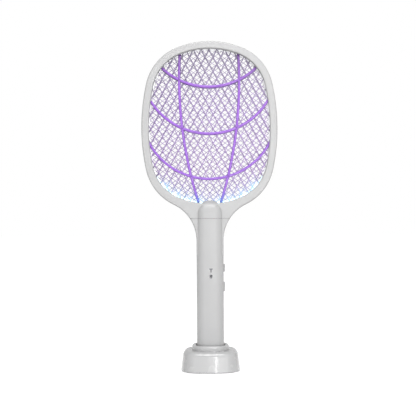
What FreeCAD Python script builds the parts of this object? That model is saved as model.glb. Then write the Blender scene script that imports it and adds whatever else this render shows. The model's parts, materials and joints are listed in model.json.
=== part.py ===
"""Electric fly swatter standing in its charging dock.

Millimetres. +Z is up, the swatter's front faces -Y and its two side controls are on +X.
The origin is the centre of the dock's footprint, on the surface it stands on.
"""
import FreeCAD, Part
import math
import os

Vec = FreeCAD.Vector

# ---- driving dimensions ---------------------------------------------------------------------

# Head outline: a chain of tangent arcs, widest at HEAD_WIDEST_Z.
HEAD_HALF_WIDTH = 89.2
HEAD_TOP = 431.7
HEAD_WIDEST_Z = 317.2
TOP_RADIUS = 114.0
UPPER_CORNER_RADIUS = 67.0
UPPER_SIDE_RADIUS = 273.5
LOWER_SIDE_RADIUS = 252.8
LOWER_CORNER_RADIUS = 66.2
BOTTOM_RADIUS = 112.2
HEAD_BOTTOM = 207.0
NECK_RADIUS = 51.9

# Head frame section.
RING_WIDTH = 9.8
OPENING_BOTTOM = 218.9
RING_HALF_DEPTH = 11.5
RING_EDGE_ROUND = 2.0
WALL = 2.2
LIP = 2.0
SEAM_Z = 199.3

# Stack inside the head, as distances from the middle plane.
MESH_THICK = 0.7
OUTER_MESH_MID = 4.8
SPACER_NEAR = 0.4
SPACER_FAR = 4.4
GUARD_NEAR = 5.2
GUARD_FAR = 6.8
STACK_EDGE = 3.2
MESH_BORDER = 0.8

# Expanded-metal cells: half diagonals across and up, and strand width.
OUTER_CELL = (5.15, 9.5)
CENTRE_CELL = (4.12, 3.1)
STRAND = 1.1
OUTLINE_STEP = 6.0
SMALLEST_HOLE = 0.25

# Guard ribs.
RIB_WIDTH = 3.6
GUARD_RIM = (0.6, 2.9)
RIB_REACH = 1.6
UPRIGHT_RIB_RADIUS = 540.0
UPRIGHT_RIB_X = 39.5
UPRIGHT_RIB_Z = 382.0
CROSS_RIB_RADIUS = 90.4
CROSS_RIB_LOWS = (372.6, 310.9, 251.4)

# Lamp along the bottom of the opening.
LAMP_TOP = 256.0
LED_X = (12.9, 29.6, 45.4, 60.5)
LED_MID_Y = -2.4
LED_HALF = 1.4
TAPE_BAND = (3.5, 3.9)
WINDOW_REACH = 1.8
FRAME_REACH = -1.3

# Sheet-metal tabs that feed the three meshes.
TERMINAL_THICK = 0.4
TERMINAL_BOTTOM = 204.5

# Handle: a crowned rounded-square tube.
HANDLE_HALF_X = 17.8
HANDLE_HALF_Y = 17.0
HANDLE_CORNER = 11.0
HANDLE_CROWN = 90.0
HANDLE_WALL = 2.0
HANDLE_BOTTOM = 12.0
CAP_THICK = 3.0
DOME_TOP = 224.4
DOME_START = 205.0
DOME_SECTIONS = 7
FRAME_FOOT = 150.0
CHANNEL_FOOT = 160.0

# Handle contents.
BOARD_FRONT = -6.4
BOARD_REAR = -4.8
BOARD_Z = (98.0, 186.0)
CELL_RADIUS = 9.2
CELL_Z = (24.0, 89.0)
CELL_Y = 1.0
CELL_BUTTON = 1.4
HOLDER_HALF_X = 9.8
HOLDER_REAR = 12.6
HOLDER_END = 1.8
CORE_X = (-8.0, 2.0)
CORE_Z = (158.0, 171.0)
CORE_LIMB = 2.0
DISC_Z = (148.0, 155.5, 175.0)
DISC_X = 5.6
DIODE_Z = (104.0, 109.0, 114.0, 119.0)
RESISTOR_X = (-6.0, -2.0, 2.0)
RESISTOR_Z = (105.0, 111.5)

# Side controls.
MODE_Z = 134.0
MODE_HALF_LENGTH = 5.0
MODE_TRAVEL = 2.5
ZAP_Z = 109.4
ZAP_HALF_LENGTH = 6.2
CONTROL_OUT = 1.7
CONTROL_HALF_Y = 3.5
CONTROL_GAP = 0.35
FLANGE_HALF_Y = 5.0

# Symbols on the handle's front.
LAMP_SYMBOL_Z = 131.6
ZAP_SYMBOL_Z = 123.4
SYMBOL_X = 1.0

# Dock.
DOCK_HALF_X = 39.0
DOCK_HALF_Y = 36.5
DOCK_CORNER = 19.0
DOCK_CROWN = 150.0
DOCK_TAPER = 3.6
DOCK_UNDERSIDE = 1.2
DOCK_TOP = 27.0
DOCK_SHOULDER = 8.0
DOCK_WALL = 2.4
LIP_TOP = 33.4
LIP_OUT = 6.4
LIP_ROUND = 2.6
MOUTH_ROUND = 1.4
WELL_GAP = 1.1
WELL_FLOOR = 11.7
WELL_FLOOR_THICK = 1.8
POGO_X = 6.0
POGO_RADIUS = 1.0
POGO_FIT = 0.06
BARREL_RADIUS = 1.5
PAD_Z = 13.0
USB_Z = 8.0
DOCK_BOARD_Z = (4.7, 6.1)
PLATE_TOP = 3.4
FOOT_TOP = 1.9
FOOT_INSET = 3.9
FOOT_WIDTH = 4.4
DOCK_STAND = (16.0, 14.0)
USB_HALF_X = 4.45
USB_HALF_Z = 1.6
USB_FRONT = 27.2
USB_REAR = 34.6
USB_SHEET = 0.3

# Spring under each contact: pitch, height, coil radius and wire radius.
SPRING_PITCH = 0.4
SPRING_HEIGHT = 1.2
SPRING_RADIUS = 0.7
SPRING_WIRE = 0.13

# Screws.
SCREW_RADIUS = 0.85
DOCK_SCREW_RADIUS = 1.25
DOCK_SCREW_X = 23.5
DOCK_SCREW_Y = 21.5
SCREW_HEAD_RADIUS = 1.65
BOSS_RADIUS = 2.3
RING_BOSS_INSET = 4.0
THROAT_SCREW = (26.0, 208.0)
SCREW_FIT = 0.05
SCREW_HEAD_DEEP = 1.3
SCREW_TIP = 1.0
RING_SCREW_SEAT = 8.0
RING_SCREW_LENGTH = 11.0
HANDLE_SCREW_SEAT = 10.5
HANDLE_SCREW_LENGTH = 15.0
HANDLE_SCREW_X = 12.6
HANDLE_SCREW_Z = (36.0, 94.0, 176.0)

# A span wider than the whole object, for cutting.
WIDE = (-200.0, 200.0)

PARTS = {}


# ---- outlines ------------------------------------------------------------------------------

def upright(u, v):
    """A point of the head's middle plane."""
    return Vec(u, 0, v)


def on_circle(centre, radius, angle):
    """The point of a circle at an angle in radians."""
    return centre[0] + radius * math.cos(angle), centre[1] + radius * math.sin(angle)


def arc_points(centre, radius, start, end):
    """The first, middle and last point of an arc between two angles in radians."""
    return [on_circle(centre, radius, angle) for angle in (start, (start + end) / 2, end)]


def arc_edge(centre, radius, start, end):
    """An arc of the head's middle plane between two angles in radians."""
    return Part.Arc(*[upright(u, v) for u, v in arc_points(centre, radius, start, end)]).toShape()


def line_edge(start, end):
    """A straight edge of the head's middle plane."""
    return Part.makeLine(upright(*start), upright(*end))


def circles_meet(first, first_radius, second, second_radius, highest):
    """Where two circles cross: the higher or the lower of the two points."""
    du = second[0] - first[0]
    dv = second[1] - first[1]
    apart = math.hypot(du, dv)
    along = (first_radius ** 2 - second_radius ** 2 + apart ** 2) / (2 * apart)
    across = math.sqrt(first_radius ** 2 - along ** 2)
    foot = (first[0] + along * du / apart, first[1] + along * dv / apart)
    ends = [(foot[0] - s * across * dv / apart, foot[1] + s * across * du / apart) for s in (1, -1)]
    return max(ends, key=lambda p: p[1]) if highest else min(ends, key=lambda p: p[1])


def bearing(start, end):
    """The direction from one point to another, in radians."""
    return math.atan2(end[1] - start[1], end[0] - start[0])


def head_arcs(half_width, top, bottom, inset, trim=0.0):
    """The right half of a head oval from top to bottom, as (centre, radius, start, end).

    trim is how much smaller the oval's own radii are than the head outline's, and inset moves the
    finished oval inwards.
    """
    top_centre = (0.0, top - (TOP_RADIUS - trim))
    upper_side = (half_width - (UPPER_SIDE_RADIUS - trim), HEAD_WIDEST_Z)
    lower_side = (half_width - (LOWER_SIDE_RADIUS - trim), HEAD_WIDEST_Z)
    bottom_centre = (0.0, bottom + BOTTOM_RADIUS - trim)
    upper_corner = circles_meet(top_centre, TOP_RADIUS - UPPER_CORNER_RADIUS,
                                upper_side, UPPER_SIDE_RADIUS - UPPER_CORNER_RADIUS, True)
    lower_corner = circles_meet(lower_side, LOWER_SIDE_RADIUS - LOWER_CORNER_RADIUS,
                                bottom_centre, BOTTOM_RADIUS - LOWER_CORNER_RADIUS, False)
    less = trim + inset
    to_upper = bearing(top_centre, upper_corner)
    from_upper = bearing(upper_side, upper_corner)
    to_lower = bearing(lower_side, lower_corner)
    from_lower = bearing(bottom_centre, lower_corner)
    return [
        (top_centre, TOP_RADIUS - less, math.pi / 2, to_upper),
        (upper_corner, UPPER_CORNER_RADIUS - less, to_upper, from_upper),
        (upper_side, UPPER_SIDE_RADIUS - less, from_upper, 0.0),
        (lower_side, LOWER_SIDE_RADIUS - less, 0.0, to_lower),
        (lower_corner, LOWER_CORNER_RADIUS - less, to_lower, from_lower),
        (bottom_centre, BOTTOM_RADIUS - less, from_lower, -math.pi / 2),
    ]


def opening_arcs(outset):
    """The right half of the head's opening, grown by outset."""
    return head_arcs(HEAD_HALF_WIDTH - RING_WIDTH, HEAD_TOP - RING_WIDTH, OPENING_BOTTOM, -outset, RING_WIDTH)


def both_halves(right_arcs):
    """Edges of the arcs and of their mirror images, joined across the two ends that lie on the axis."""
    edges = [arc_edge(*arc) for arc in right_arcs]
    mirrored = [((-c[0], c[1]), r, math.pi - a0, math.pi - a1) for c, r, a0, a1 in right_arcs]
    return edges + [arc_edge(*arc) for arc in mirrored]


def face_of(edges):
    """A flat face inside a loop of edges given in any order."""
    return Part.Face(Part.Wire(Part.__sortEdges__(edges)))


def opening_face(outset):
    """The head's opening as a face, grown by outset."""
    return face_of(both_halves(opening_arcs(outset)))


def rim_band(inner, outer):
    """The band between the opening grown by inner and by outer."""
    return opening_face(outer).cut(opening_face(inner))


def head_face(inset, bottom):
    """The head outline with its neck flaring into the handle, closed straight across at bottom."""
    arcs = head_arcs(HEAD_HALF_WIDTH, HEAD_TOP, HEAD_BOTTOM, inset)[:-1]
    corner, corner_radius, to_corner, _ = arcs[-1]
    neck_x = HANDLE_HALF_X + NECK_RADIUS
    reach = NECK_RADIUS + LOWER_CORNER_RADIUS
    neck = (neck_x, corner[1] - math.sqrt(reach ** 2 - (neck_x - corner[0]) ** 2))
    leave = bearing(corner, neck)
    arcs[-1] = (corner, corner_radius, to_corner, leave)
    arcs.append((neck, NECK_RADIUS + inset, leave + math.pi, math.pi))
    side = HANDLE_HALF_X - inset
    edges = both_halves(arcs)
    edges += [line_edge((s * side, neck[1]), (s * side, bottom)) for s in (-1, 1)]
    edges.append(line_edge((-side, bottom), (side, bottom)))
    return face_of(edges)


def squircle(half_x, half_y, corner, crown, z):
    """A level rounded rectangle whose four sides are slightly crowned, as a wire at height z."""
    side = (half_x - crown, 0.0)
    front = (0.0, half_y - crown)
    centre = circles_meet(side, crown - corner, front, crown - corner, True)
    from_side = bearing(side, centre)
    to_front = bearing(front, centre)
    corner_points = arc_points(centre, corner, from_side, to_front)
    edges = []
    for sx, sy in ((1, 1), (-1, 1), (-1, -1), (1, -1)):
        edges.append(Part.Arc(*[Vec(sx * u, sy * v, z) for u, v in corner_points]).toShape())
    side_points = arc_points(side, crown, -from_side, from_side)
    front_points = arc_points(front, crown, math.pi - to_front, to_front)
    for s in (1, -1):
        edges.append(Part.Arc(*[Vec(s * u, v, z) for u, v in side_points]).toShape())
        edges.append(Part.Arc(*[Vec(u, s * v, z) for u, v in front_points]).toShape())
    return Part.Wire(Part.__sortEdges__(edges))


def handle_section(inset, z):
    """The handle's outline moved inwards by inset."""
    return squircle(HANDLE_HALF_X - inset, HANDLE_HALF_Y - inset, HANDLE_CORNER - inset,
                    HANDLE_CROWN - inset, z)


def dock_section(inset, z):
    """The dock body's outline at height z, moved inwards by inset."""
    narrower = inset + DOCK_TAPER * (z - DOCK_UNDERSIDE) / (DOCK_TOP - DOCK_UNDERSIDE)
    return squircle(DOCK_HALF_X - narrower, DOCK_HALF_Y - narrower, DOCK_CORNER - narrower / 2,
                    DOCK_CROWN, z)


# ---- solids --------------------------------------------------------------------------------

def through(face, near, far):
    """A face of the middle plane extruded from y = near to y = far."""
    placed = face.copy()
    placed.translate(Vec(0, near, 0))
    return placed.extrude(Vec(0, far - near, 0))


def column(wire, height):
    """A level wire extruded upwards."""
    return Part.Face(wire).extrude(Vec(0, 0, height))


def block(x, y, z):
    """A box from three (low, high) pairs."""
    return Part.makeBox(x[1] - x[0], y[1] - y[0], z[1] - z[0], Vec(x[0], y[0], z[0]))


def rod_y(x, z, radius, near, far):
    """A cylinder along Y."""
    return Part.makeCylinder(radius, far - near, Vec(x, near, z), Vec(0, 1, 0))


def rod_z(x, y, radius, low, high):
    """A cylinder along Z."""
    return Part.makeCylinder(radius, high - low, Vec(x, y, low), Vec(0, 0, 1))


def rod_x(y, z, radius, near, far):
    """A cylinder along X."""
    return Part.makeCylinder(radius, far - near, Vec(near, y, z), Vec(1, 0, 0))


def fused(shapes):
    """One solid from several that touch or overlap."""
    first, *rest = shapes
    return first.multiFuse(rest).removeSplitter()


def mirrored_y(shape):
    """The shape mirrored from front to rear."""
    return shape.mirror(Vec(0, 0, 0), Vec(0, 1, 0))


def keep(name, *solids):
    """Records the solids that make up one named piece."""
    flat = [solid for shape in solids for solid in shape.Solids]
    PARTS[name] = flat[0] if len(flat) == 1 else Part.makeCompound(flat)


def wire_run(points, radius, bend):
    """An insulated wire: straight runs joined by tangent arcs."""
    edges = []
    start = points[0]
    for before, at, after in zip(points, points[1:], points[2:]):
        back = (before - at).normalize()
        ahead = (after - at).normalize()
        half_turn = (math.pi - back.getAngle(ahead)) / 2
        setback = bend * math.tan(half_turn)
        enter = at + back * setback
        leave = at + ahead * setback
        middle = (back + ahead).normalize()
        crest = at + middle * (bend / math.cos(half_turn) - bend)
        edges.append(Part.makeLine(start, enter))
        edges.append(Part.Arc(enter, crest, leave).toShape())
        start = leave
    edges.append(Part.makeLine(start, points[-1]))
    path = Part.Wire(edges)
    heading = (points[1] - points[0]).normalize()
    section = Part.Wire(Part.makeCircle(radius, points[0], heading))
    return path.makePipeShell([section], True, False)


def halves(solid):
    """The front and rear halves of a solid, split at the middle plane."""
    height = (solid.BoundBox.ZMin - 1, solid.BoundBox.ZMax + 1)
    front = solid.common(block(WIDE, (WIDE[0], 0), height))
    rear = solid.common(block(WIDE, (0, WIDE[1]), height))
    return front, rear


# ---- expanded-metal meshes and guards --------------------------------------------------------

def clip_to_convex(polygon, outline):
    """The part of a polygon inside a convex outline whose points run anticlockwise."""
    for (x0, z0), (x1, z1) in zip(outline, outline[1:] + outline[:1]):
        kept = []
        sides = [(x1 - x0) * (z - z0) - (z1 - z0) * (x - x0) for x, z in polygon]
        for i, (point, side) in enumerate(zip(polygon, sides)):
            last, last_side = polygon[i - 1], sides[i - 1]
            if side * last_side < 0:
                t = last_side / (last_side - side)
                kept.append((last[0] + t * (point[0] - last[0]), last[1] + t * (point[1] - last[1])))
            if side >= 0:
                kept.append(point)
        polygon = kept
        if not polygon:
            break
    return polygon


def polygon_area(polygon):
    """Area of a polygon by the shoelace rule."""
    pairs = zip(polygon, polygon[1:] + polygon[:1])
    return abs(sum(x0 * z1 - x1 * z0 for (x0, z0), (x1, z1) in pairs)) / 2


def opening_points(outset, step):
    """Points round the opening, anticlockwise, no more than about step apart."""
    right = []
    for centre, radius, start, end in reversed(opening_arcs(outset)):
        count = max(2, math.ceil(radius * abs(end - start) / step))
        right += [on_circle(centre, radius, end + (start - end) * i / count) for i in range(count)]
    left = [(-x, z) for x, z in reversed(right[1:])]
    return right + [(0.0, HEAD_TOP - RING_WIDTH + outset)] + left


def mesh_plate(cell, middle):
    """A metal plate filling the opening, pierced by a diamond lattice."""
    half_x, half_z = cell
    to_edge = half_x * half_z / math.hypot(half_x, half_z)
    shrink = 1 - STRAND / 2 / to_edge
    diamond = [(half_x * shrink, 0), (0, half_z * shrink), (-half_x * shrink, 0), (0, -half_z * shrink)]
    limit = opening_points(MESH_BORDER, OUTLINE_STEP)
    smallest = SMALLEST_HOLE * polygon_area(diamond)
    rows = math.ceil((HEAD_TOP - OPENING_BOTTOM) / half_z / 2) + 2
    columns = math.ceil(HEAD_HALF_WIDTH / half_x / 2) + 2
    wires = [opening_face(STACK_EDGE).OuterWire]
    for row in range(-rows, rows + 1):
        for col in range(-columns, columns + 1):
            x = (2 * col + row % 2) * half_x
            z = HEAD_WIDEST_Z + row * half_z
            hole = clip_to_convex([(x + u, z + v) for u, v in diamond], limit)
            if len(hole) > 2 and polygon_area(hole) > smallest:
                corners = [upright(*p) for p in hole]
                wires.append(Part.makePolygon(corners + corners[:1]))
    sheet = Part.Face(wires, "Part::FaceMakerBullseye")
    return through(sheet, middle - MESH_THICK / 2, middle + MESH_THICK / 2)


def rib_face(centre, radius):
    """A long curved rib of the guard, as a ring cut to the opening."""
    outer = Part.Face(Part.Wire(Part.makeCircle(radius + RIB_WIDTH / 2, upright(*centre), Vec(0, 1, 0))))
    inner = Part.Face(Part.Wire(Part.makeCircle(radius - RIB_WIDTH / 2, upright(*centre), Vec(0, 1, 0))))
    return outer.cut(inner).common(opening_face(RIB_REACH))


def guard(near, far):
    """A spider-web guard: a rim under the frame's lip, two upright ribs and three hanging ones."""
    pieces = [through(rim_band(*GUARD_RIM), near, far)]
    for s in (-1, 1):
        centre = (s * (UPRIGHT_RIB_X - UPRIGHT_RIB_RADIUS), UPRIGHT_RIB_Z)
        pieces.append(through(rib_face(centre, UPRIGHT_RIB_RADIUS), near, far))
    for low in CROSS_RIB_LOWS:
        centre_z = low + CROSS_RIB_RADIUS
        hanging = through(rib_face((0, centre_z), CROSS_RIB_RADIUS), near, far)
        pieces.append(hanging.common(block(WIDE, (near, far), (0, centre_z))))
    return fused(pieces)


# ---- head ------------------------------------------------------------------------------------

def dome(inset, start):
    """The handle's form rising over the head's throat and closing in a round nose."""
    rise = DOME_TOP - inset - start
    wires = []
    for step in range(DOME_SECTIONS):
        lift = math.sin(math.pi / 2 * step / DOME_SECTIONS)
        scale = math.sqrt(1 - lift ** 2)
        section = handle_section(inset, 0.0)
        section.scale(scale)
        section.translate(Vec(0, 0, start + rise * lift))
        wires.append(section)
    wires.append(Part.Vertex(0, 0, start + rise))
    return Part.makeLoft(wires, True, False)


def outer_body():
    """Head frame, neck flare, handle and dome as one outside form, open through the head."""
    plate = through(head_face(0, FRAME_FOOT), -RING_HALF_DEPTH, RING_HALF_DEPTH)
    plate = plate.cut(through(opening_face(0), -RING_HALF_DEPTH - 1, RING_HALF_DEPTH + 1))
    rims = [e for e in plate.Edges
            if abs(abs(e.BoundBox.YMin) - RING_HALF_DEPTH) < 1e-6 and e.BoundBox.YLength < 1e-6
            and e.BoundBox.ZMax > FRAME_FOOT + 1]
    plate = plate.makeFillet(RING_EDGE_ROUND, rims)
    handle_bottom = HANDLE_BOTTOM + CAP_THICK
    shaft = column(handle_section(0, handle_bottom), DOME_START - handle_bottom)
    return fused([plate, shaft, dome(0, DOME_START)])


def inner_space():
    """All of the room inside the shells: the frame's channel, the throat and the handle."""
    channel_depth = RING_HALF_DEPTH - WALL
    around = head_face(WALL, CHANNEL_FOOT)
    channel = through(around, -channel_depth, channel_depth)
    channel = channel.cut(through(opening_face(LIP), -channel_depth - 1, channel_depth + 1))
    seat = through(opening_face(LIP + 0.01), -GUARD_FAR, GUARD_FAR)
    bore_bottom = HANDLE_BOTTOM + CAP_THICK - 1
    bore = column(handle_section(HANDLE_WALL, bore_bottom), DOME_START - bore_bottom)
    return channel, seat, bore


def ring_screw_places():
    """Centres of the screws that close the head frame."""
    arcs = head_arcs(HEAD_HALF_WIDTH, HEAD_TOP, HEAD_BOTTOM, RING_BOSS_INSET)
    places = [THROAT_SCREW]
    for centre, radius, start, end in (arcs[0], arcs[1], arcs[2], arcs[4]):
        places.append(on_circle(centre, radius, (start + end) / 2))
    return [(s * x, z) for x, z in places for s in (-1, 1)]


def handle_screw_places():
    """Centres of the screws that close the handle."""
    return [(s * HANDLE_SCREW_X, z) for z in HANDLE_SCREW_Z for s in (-1, 1)]


def screw(x, z, seat, length):
    """A small self-tapping screw driven from the rear, with a cross recess."""
    head = rod_y(x, z, SCREW_HEAD_RADIUS, seat, seat + SCREW_HEAD_DEEP)
    shank = rod_y(x, z, SCREW_RADIUS, seat - length, seat)
    tip = Part.makeCone(SCREW_RADIUS, 0.2, SCREW_TIP, Vec(x, seat - length, z), Vec(0, -1, 0))
    driven = fused([head, shank, tip])
    for a, b in ((1.1, 0.25), (0.25, 1.1)):
        driven = driven.cut(block((x - a, x + a), (seat + 0.7, seat + 2), (z - b, z + b)))
    return driven


def boss_cuts(x, z, seat, length, outside):
    """What a screw takes out of the shells: pilot, clearance and head recess."""
    pilot = rod_y(x, z, SCREW_RADIUS + SCREW_FIT, seat - length - SCREW_TIP - 1.3, seat)
    recess = rod_y(x, z, SCREW_HEAD_RADIUS + 0.15, seat, outside)
    return pilot.fuse(recess)


def control_windows():
    """The two windows in the +X side of the handle."""
    wide = (-CONTROL_HALF_Y - CONTROL_GAP, CONTROL_HALF_Y + CONTROL_GAP)
    out = (HANDLE_HALF_X - HANDLE_WALL - 1.5, HANDLE_HALF_X + 2)
    mode = MODE_HALF_LENGTH + MODE_TRAVEL + CONTROL_GAP
    zap = ZAP_HALF_LENGTH + CONTROL_GAP
    return [block(out, wide, (MODE_Z - mode, MODE_Z + mode)), block(out, wide, (ZAP_Z - zap, ZAP_Z + zap))]


def symbol_prisms():
    """Upright prisms of the two clear symbols: a hanging lamp shade and a drop."""
    front = (-HANDLE_HALF_Y - 1, -HANDLE_HALF_Y + HANDLE_WALL + 0.6)
    shade = [(-2.3, 2.6), (2.3, 2.6), (0.7, -0.6), (0.7, -2.8), (-0.7, -2.8), (-0.7, -0.6)]
    drop = [(0.0, 3.1), (1.9, 0.9), (1.6, -1.3), (0.0, -3.1), (-1.6, -1.3), (-1.9, 0.9)]
    prisms = []
    for z, shape in ((LAMP_SYMBOL_Z, shade), (ZAP_SYMBOL_Z, drop)):
        corners = [Vec(SYMBOL_X + u, front[0], z + v) for u, v in shape]
        face = Part.Face(Part.makePolygon(corners + corners[:1]))
        prisms.append(face.extrude(Vec(0, front[1] - front[0], 0)))
    return prisms


def shells():
    """The four plastic shells of the swatter and the two clear symbols set in the handle."""
    outside = outer_body()
    channel, seat, bore = inner_space()
    bosses = []
    cuts = []
    handle_boss = HANDLE_HALF_Y - 4.5
    for x, z in ring_screw_places():
        bosses.append(rod_y(x, z, BOSS_RADIUS, -RING_HALF_DEPTH + 1, RING_HALF_DEPTH - 1))
        cuts.append(boss_cuts(x, z, RING_SCREW_SEAT, RING_SCREW_LENGTH, RING_HALF_DEPTH + 1))
    for x, z in handle_screw_places():
        bosses.append(rod_y(x, z, BOSS_RADIUS + 0.5, -handle_boss, handle_boss))
        cuts.append(boss_cuts(x, z, HANDLE_SCREW_SEAT, HANDLE_SCREW_LENGTH, HANDLE_HALF_Y + 1))
    hollow = outside.cut(channel).cut(seat).cut(bore)
    solid = hollow.multiFuse(bosses)
    for tool in cuts + control_windows():
        solid = solid.cut(tool)
    prisms = symbol_prisms()
    for name, prism in zip(("lamp_symbol_lens", "zap_symbol_lens"), prisms):
        keep(name, prism.common(outside))
        solid = solid.cut(prism)
    top = (SEAM_Z + 0.05, HEAD_TOP + 1)
    bottom = (0, SEAM_Z - 0.05)
    for name, span in (("head", top), ("handle", bottom)):
        part = solid.common(block(WIDE, WIDE, span))
        front, rear = halves(part)
        keep(name + "_front_shell", front)
        keep(name + "_rear_shell", rear)
    ring_screws = [screw(x, z, RING_SCREW_SEAT, RING_SCREW_LENGTH) for x, z in ring_screw_places()]
    keep("head_screws", *ring_screws)
    handle_screws = [screw(x, z, HANDLE_SCREW_SEAT, HANDLE_SCREW_LENGTH) for x, z in handle_screw_places()]
    keep("handle_screws", *handle_screws)


def head_stack():
    """Meshes, spacers, guards and the lamp inside the head frame."""
    keep("front_mesh", mesh_plate(OUTER_CELL, -OUTER_MESH_MID))
    keep("centre_mesh", mesh_plate(CENTRE_CELL, 0.0))
    keep("rear_mesh", mesh_plate(OUTER_CELL, OUTER_MESH_MID))
    front_guard = guard(-GUARD_FAR, -GUARD_NEAR)
    keep("front_guard", front_guard)
    keep("rear_guard", mirrored_y(front_guard))
    band = rim_band(FRAME_REACH, STACK_EDGE)
    below_lamp = block(WIDE, (-10, 0), (0, LAMP_TOP + 0.2))
    notch = block((-8.5, 8.5), (0, 10), (200, OPENING_BOTTOM))
    keep("front_spacer", through(band, -SPACER_FAR, -SPACER_NEAR).cut(below_lamp))
    keep("rear_spacer", through(band, SPACER_NEAR, SPACER_FAR).cut(notch))
    lamp_room = block(WIDE, (-10, 0), (0, LAMP_TOP))
    window = rim_band(FRAME_REACH, WINDOW_REACH)
    keep("led_window", through(window, -SPACER_FAR, -SPACER_NEAR).common(lamp_room))
    tape = through(rim_band(*TAPE_BAND), LED_MID_Y - LED_HALF, LED_MID_Y + LED_HALF)
    keep("led_strip", tape.common(lamp_room))
    keep("uv_leds", *[led for x in LED_X for led in (strip_led(x), strip_led(-x))])
    left_tab = (-7.5, -4.5)
    right_tab = (4.5, 7.5)
    tabs = [
        block(left_tab, (-4.35, -4.35 + TERMINAL_THICK), (TERMINAL_BOTTOM, 216.5)),
        block(right_tab, (0.4, 0.4 + TERMINAL_THICK), (TERMINAL_BOTTOM, 218.0)),
        block(left_tab, (3.95, 3.95 + TERMINAL_THICK), (TERMINAL_BOTTOM, 218.0)),
    ]
    keep("mesh_terminals", *tabs)


def lower_point(outset, x):
    """Height and outward bearing of a point on the lower edge of the opening grown by outset."""
    arcs = opening_arcs(outset)
    corner, corner_radius, _, from_lower = arcs[4]
    bottom, bottom_radius, _, _ = arcs[5]
    meet = bottom[0] + bottom_radius * math.cos(from_lower)
    centre, radius = (bottom, bottom_radius) if abs(x) < meet else (corner, corner_radius)
    z = centre[1] - math.sqrt(radius ** 2 - (abs(x) - centre[0]) ** 2)
    outward = math.atan2(z - centre[1], abs(x) - centre[0])
    return z, outward if x > 0 else math.pi - outward


def strip_led(x):
    """A surface-mount lamp on the strip, shining into the opening."""
    z, outward = lower_point(TAPE_BAND[0] - 0.05, x)
    led = block((-LED_HALF, 0.0), (-1.2, 1.2), (-LED_HALF, LED_HALF))
    led.rotate(Vec(0, 0, 0), Vec(0, 1, 0), -math.degrees(outward))
    led.translate(Vec(x, LED_MID_Y, z))
    return led


# ---- controls --------------------------------------------------------------------------------

def controls():
    """The mode slider, the push button and the switches behind them."""
    inner_wall = HANDLE_HALF_X - HANDLE_WALL
    top_x = HANDLE_HALF_X + CONTROL_OUT
    wide = (-CONTROL_HALF_Y, CONTROL_HALF_Y)
    flange_wide = (-FLANGE_HALF_Y, FLANGE_HALF_Y)
    knob = block((inner_wall - 0.6, top_x), wide, (MODE_Z - MODE_HALF_LENGTH, MODE_Z + MODE_HALF_LENGTH))
    rounds = [e for e in knob.Edges if e.BoundBox.XMin > top_x - 0.01]
    knob = knob.makeFillet(0.8, rounds)
    ridge = rod_y(top_x - 0.1, MODE_Z - 3.6, 0.7, -CONTROL_HALF_Y + 0.8, CONTROL_HALF_Y - 0.8)
    slide = MODE_HALF_LENGTH + 2 * MODE_TRAVEL + 1.2
    flange = block((inner_wall - 1.6, inner_wall - 0.6), flange_wide, (MODE_Z - slide, MODE_Z + slide))
    prongs = [block((12.6, inner_wall - 1.5), (-1.6, 1.6), (MODE_Z + s * 2.0 - 0.7, MODE_Z + s * 2.0 + 0.7))
              for s in (-1, 1)]
    keep("mode_slider_knob", fused([knob, ridge, flange] + prongs))
    lever = block((9.0, 14.0), (-1.0, 1.0), (MODE_Z - 1.25, MODE_Z + 1.25))
    keep("slide_switch_lever", lever)
    lever_reach = 1.25 + MODE_TRAVEL + 0.4
    room = block((8.6, 12.6), (-1.35, 1.35), (MODE_Z - lever_reach, MODE_Z + lever_reach))
    switch = block((5.0, 12.0), (BOARD_REAR, 2.6), (MODE_Z - 8.0, MODE_Z + 8.0))
    keep("slide_switch_body", switch.cut(room))
    cap = block((inner_wall - 0.8, top_x), wide, (ZAP_Z - ZAP_HALF_LENGTH, ZAP_Z + ZAP_HALF_LENGTH))
    upper = [e for e in cap.Edges if e.BoundBox.XMin > top_x - 0.01]
    cap = cap.makeFillet(1.2, upper)
    flange = block((inner_wall - 1.8, inner_wall - 0.6), flange_wide, (ZAP_Z - 8.0, ZAP_Z + 8.0))
    stem = rod_x(0, ZAP_Z, 1.8, 12.6, inner_wall - 1.5)
    keep("zap_button", fused([cap, flange, stem]))
    keep("tact_plunger", rod_x(0, ZAP_Z, 1.5, 10.2, 12.6))
    tact = block((5.5, 11.4), (BOARD_REAR, 3.1), (ZAP_Z - 3.1, ZAP_Z + 3.1))
    keep("tact_switch_body", tact.cut(rod_x(0, ZAP_Z, 1.55, 9.0, 12.0)))


# ---- handle contents ---------------------------------------------------------------------------

def end_cap():
    """The handle's lower end with its two recessed charging contacts."""
    plate = column(handle_section(0, HANDLE_BOTTOM), CAP_THICK)
    rim = [e for e in plate.Edges if e.BoundBox.ZMax < HANDLE_BOTTOM + 0.01]
    plate = plate.makeFillet(1.5, rim)
    spigot_z = HANDLE_BOTTOM + CAP_THICK - 0.5
    spigot = column(handle_section(HANDLE_WALL + 0.1, spigot_z), 6.5)
    spigot = spigot.cut(column(handle_section(HANDLE_WALL + 1.7, HANDLE_BOTTOM + CAP_THICK), 7.0))
    cap = fused([plate, spigot])
    pads = []
    for s in (-1, 1):
        x = s * POGO_X
        cap = cap.cut(rod_z(x, 0, 2.6, HANDLE_BOTTOM - 1, PAD_Z + 0.8))
        cap = cap.cut(rod_z(x, 0, 0.8, PAD_Z, HANDLE_BOTTOM + CAP_THICK + 1))
        pads.append(fused([rod_z(x, 0, 2.6, PAD_Z, PAD_Z + 0.8), rod_z(x, 0, 0.8, PAD_Z, 17.5)]))
    keep("end_cap", cap)
    keep("charge_pads", *pads)


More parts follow.
